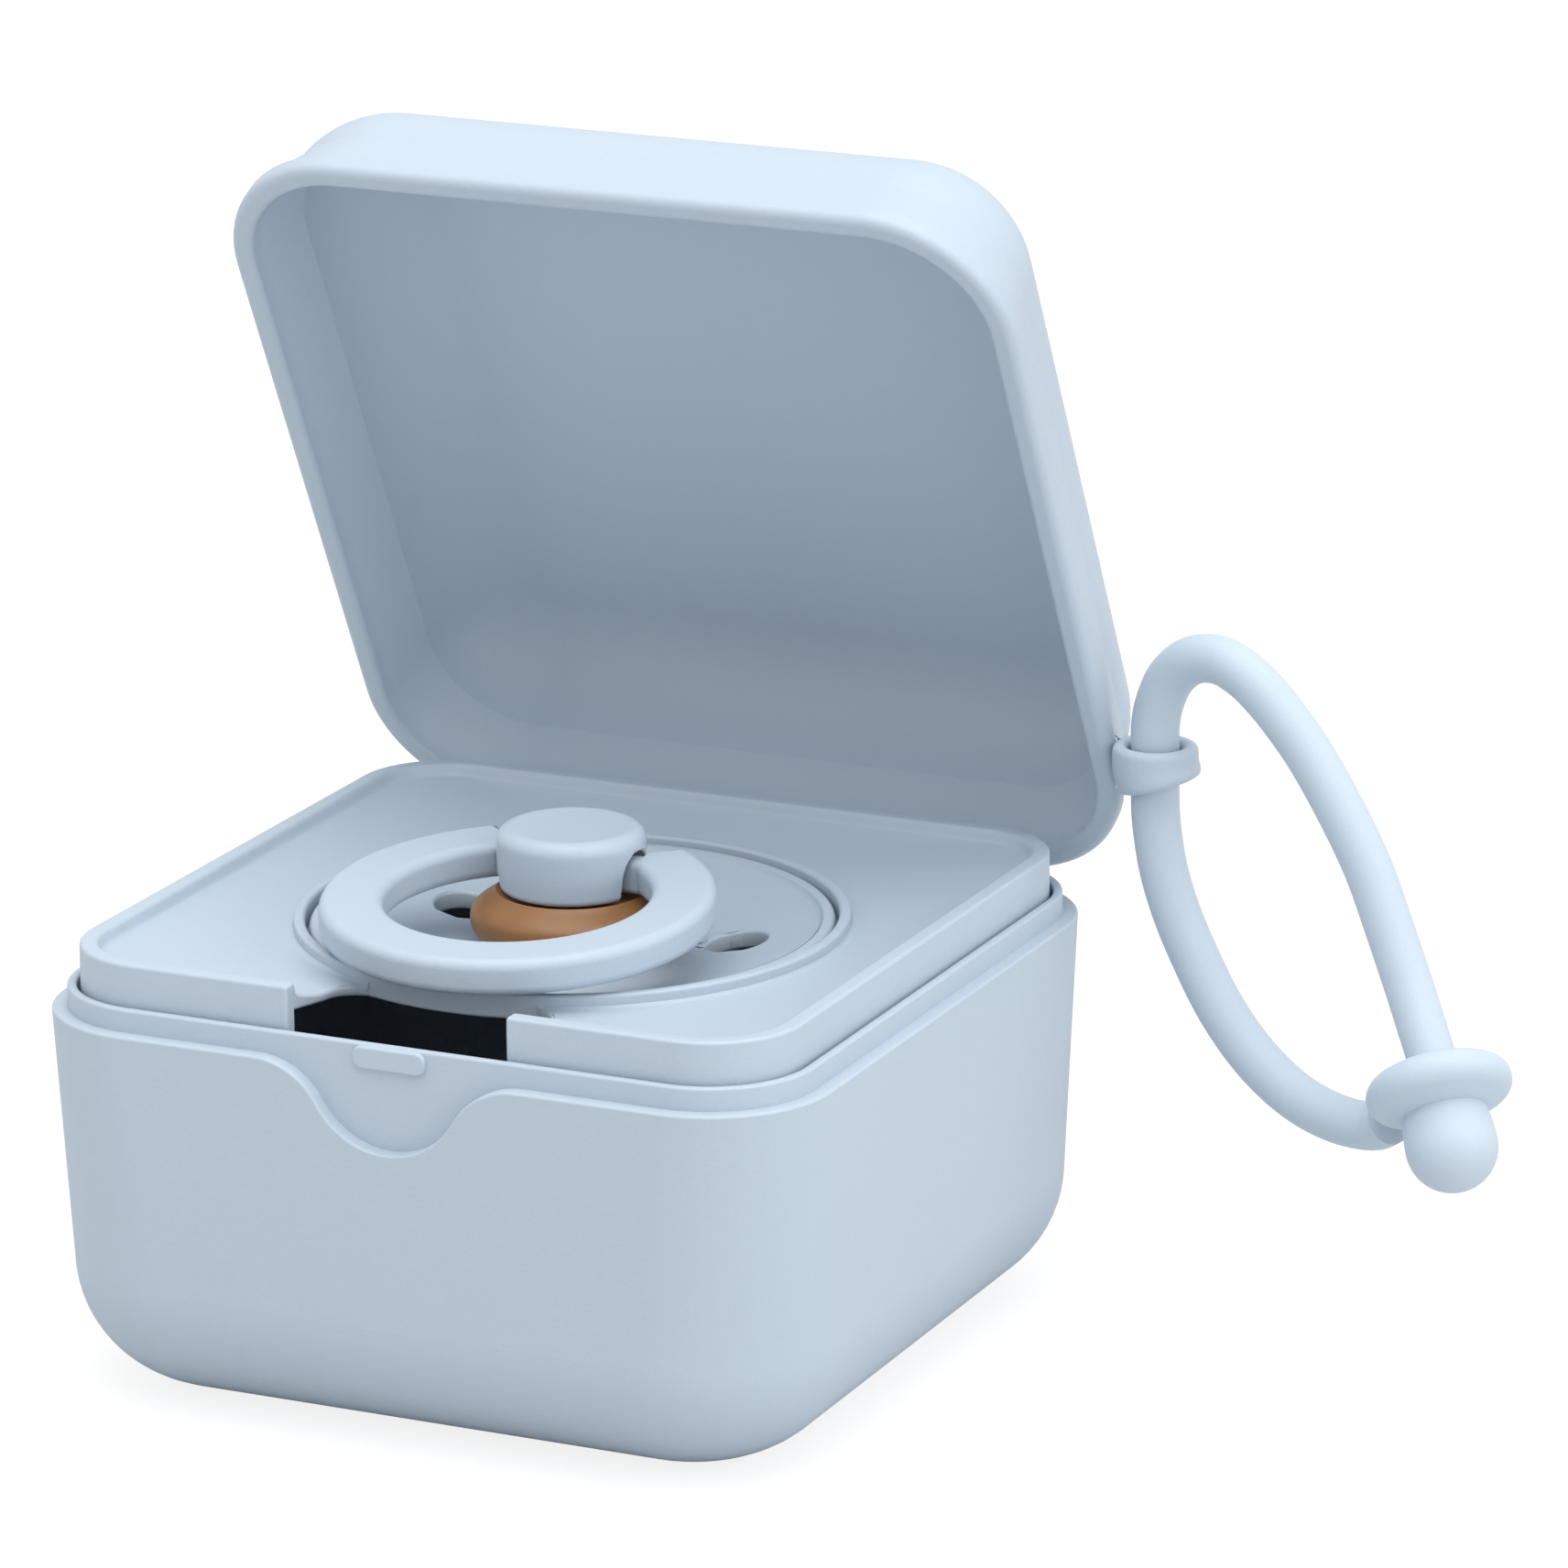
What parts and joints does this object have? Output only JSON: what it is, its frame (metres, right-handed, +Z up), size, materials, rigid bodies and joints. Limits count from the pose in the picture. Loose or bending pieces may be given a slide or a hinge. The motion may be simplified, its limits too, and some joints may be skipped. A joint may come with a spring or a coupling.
{
  "type": "pacifier box",
  "caption": "Square box with a hinged lid, a tray that holds a pacifier by its shield, and a soft strap looped through an eye on the lid.",
  "frame": {"origin": "centre of the base's flat underside, on the surface it stands on", "axes": "+Z up, -Y to the front where the thumb notch is, +X to the side of the lid that carries the strap's eye"},
  "size_m": [0.1108, 0.0813, 0.0986],
  "materials": {
    "box_plastic": "fine matt moulded plastic, pale blue",
    "pacifier_plastic": "fine matt moulded plastic, pale blue",
    "strap_silicone": "matt silicone, pale blue",
    "teat_rubber": "amber natural rubber, slightly translucent",
    "pin_steel": "plain drawn pin"
  },
  "bodies": {
    "box": {"base": "box_plastic", "hinge_pin": "pin_steel"},
    "lid": {"lid": "box_plastic"},
    "strap": {"strap_cord": "strap_silicone", "strap_eyelet": "strap_silicone", "strap_ball": "strap_silicone"},
    "tray": {"tray": "box_plastic"},
    "pacifier": {"pacifier_shield": "pacifier_plastic", "pacifier_teat": "teat_rubber", "pacifier_plug": "pacifier_plastic", "pacifier_knob": "pacifier_plastic"},
    "handle": {"pacifier_ring": "pacifier_plastic"}
  },
  "joints": [
    {"name": "lid_hinge", "type": "hinge", "parent": "box", "child": "lid", "pos_m": [0, 0.0359, 0.032], "axis": [-1, 0, 0], "range_deg": [-63.18, 42]},
    {"name": "strap_swivel", "type": "hinge", "parent": "lid", "child": "strap", "pos_m": [0.0393, 0.03112, 0.04589], "axis": [0, 0, -1], "range_deg": [-100, 50]},
    {"name": "tray_lift", "type": "slide", "parent": "box", "child": "tray", "axis": [0, 0, 1], "range_m": [0, 0.01]},
    {"name": "pacifier_lift", "type": "slide", "parent": "tray", "child": "pacifier", "axis": [0, 0, 1], "range_m": [0, 0.032]},
    {"name": "handle_flip", "type": "hinge", "parent": "pacifier", "child": "handle", "pos_m": [0, 0, 0.0403], "axis": [-1, 0, 0], "range_deg": [0, 180]}
  ]
}
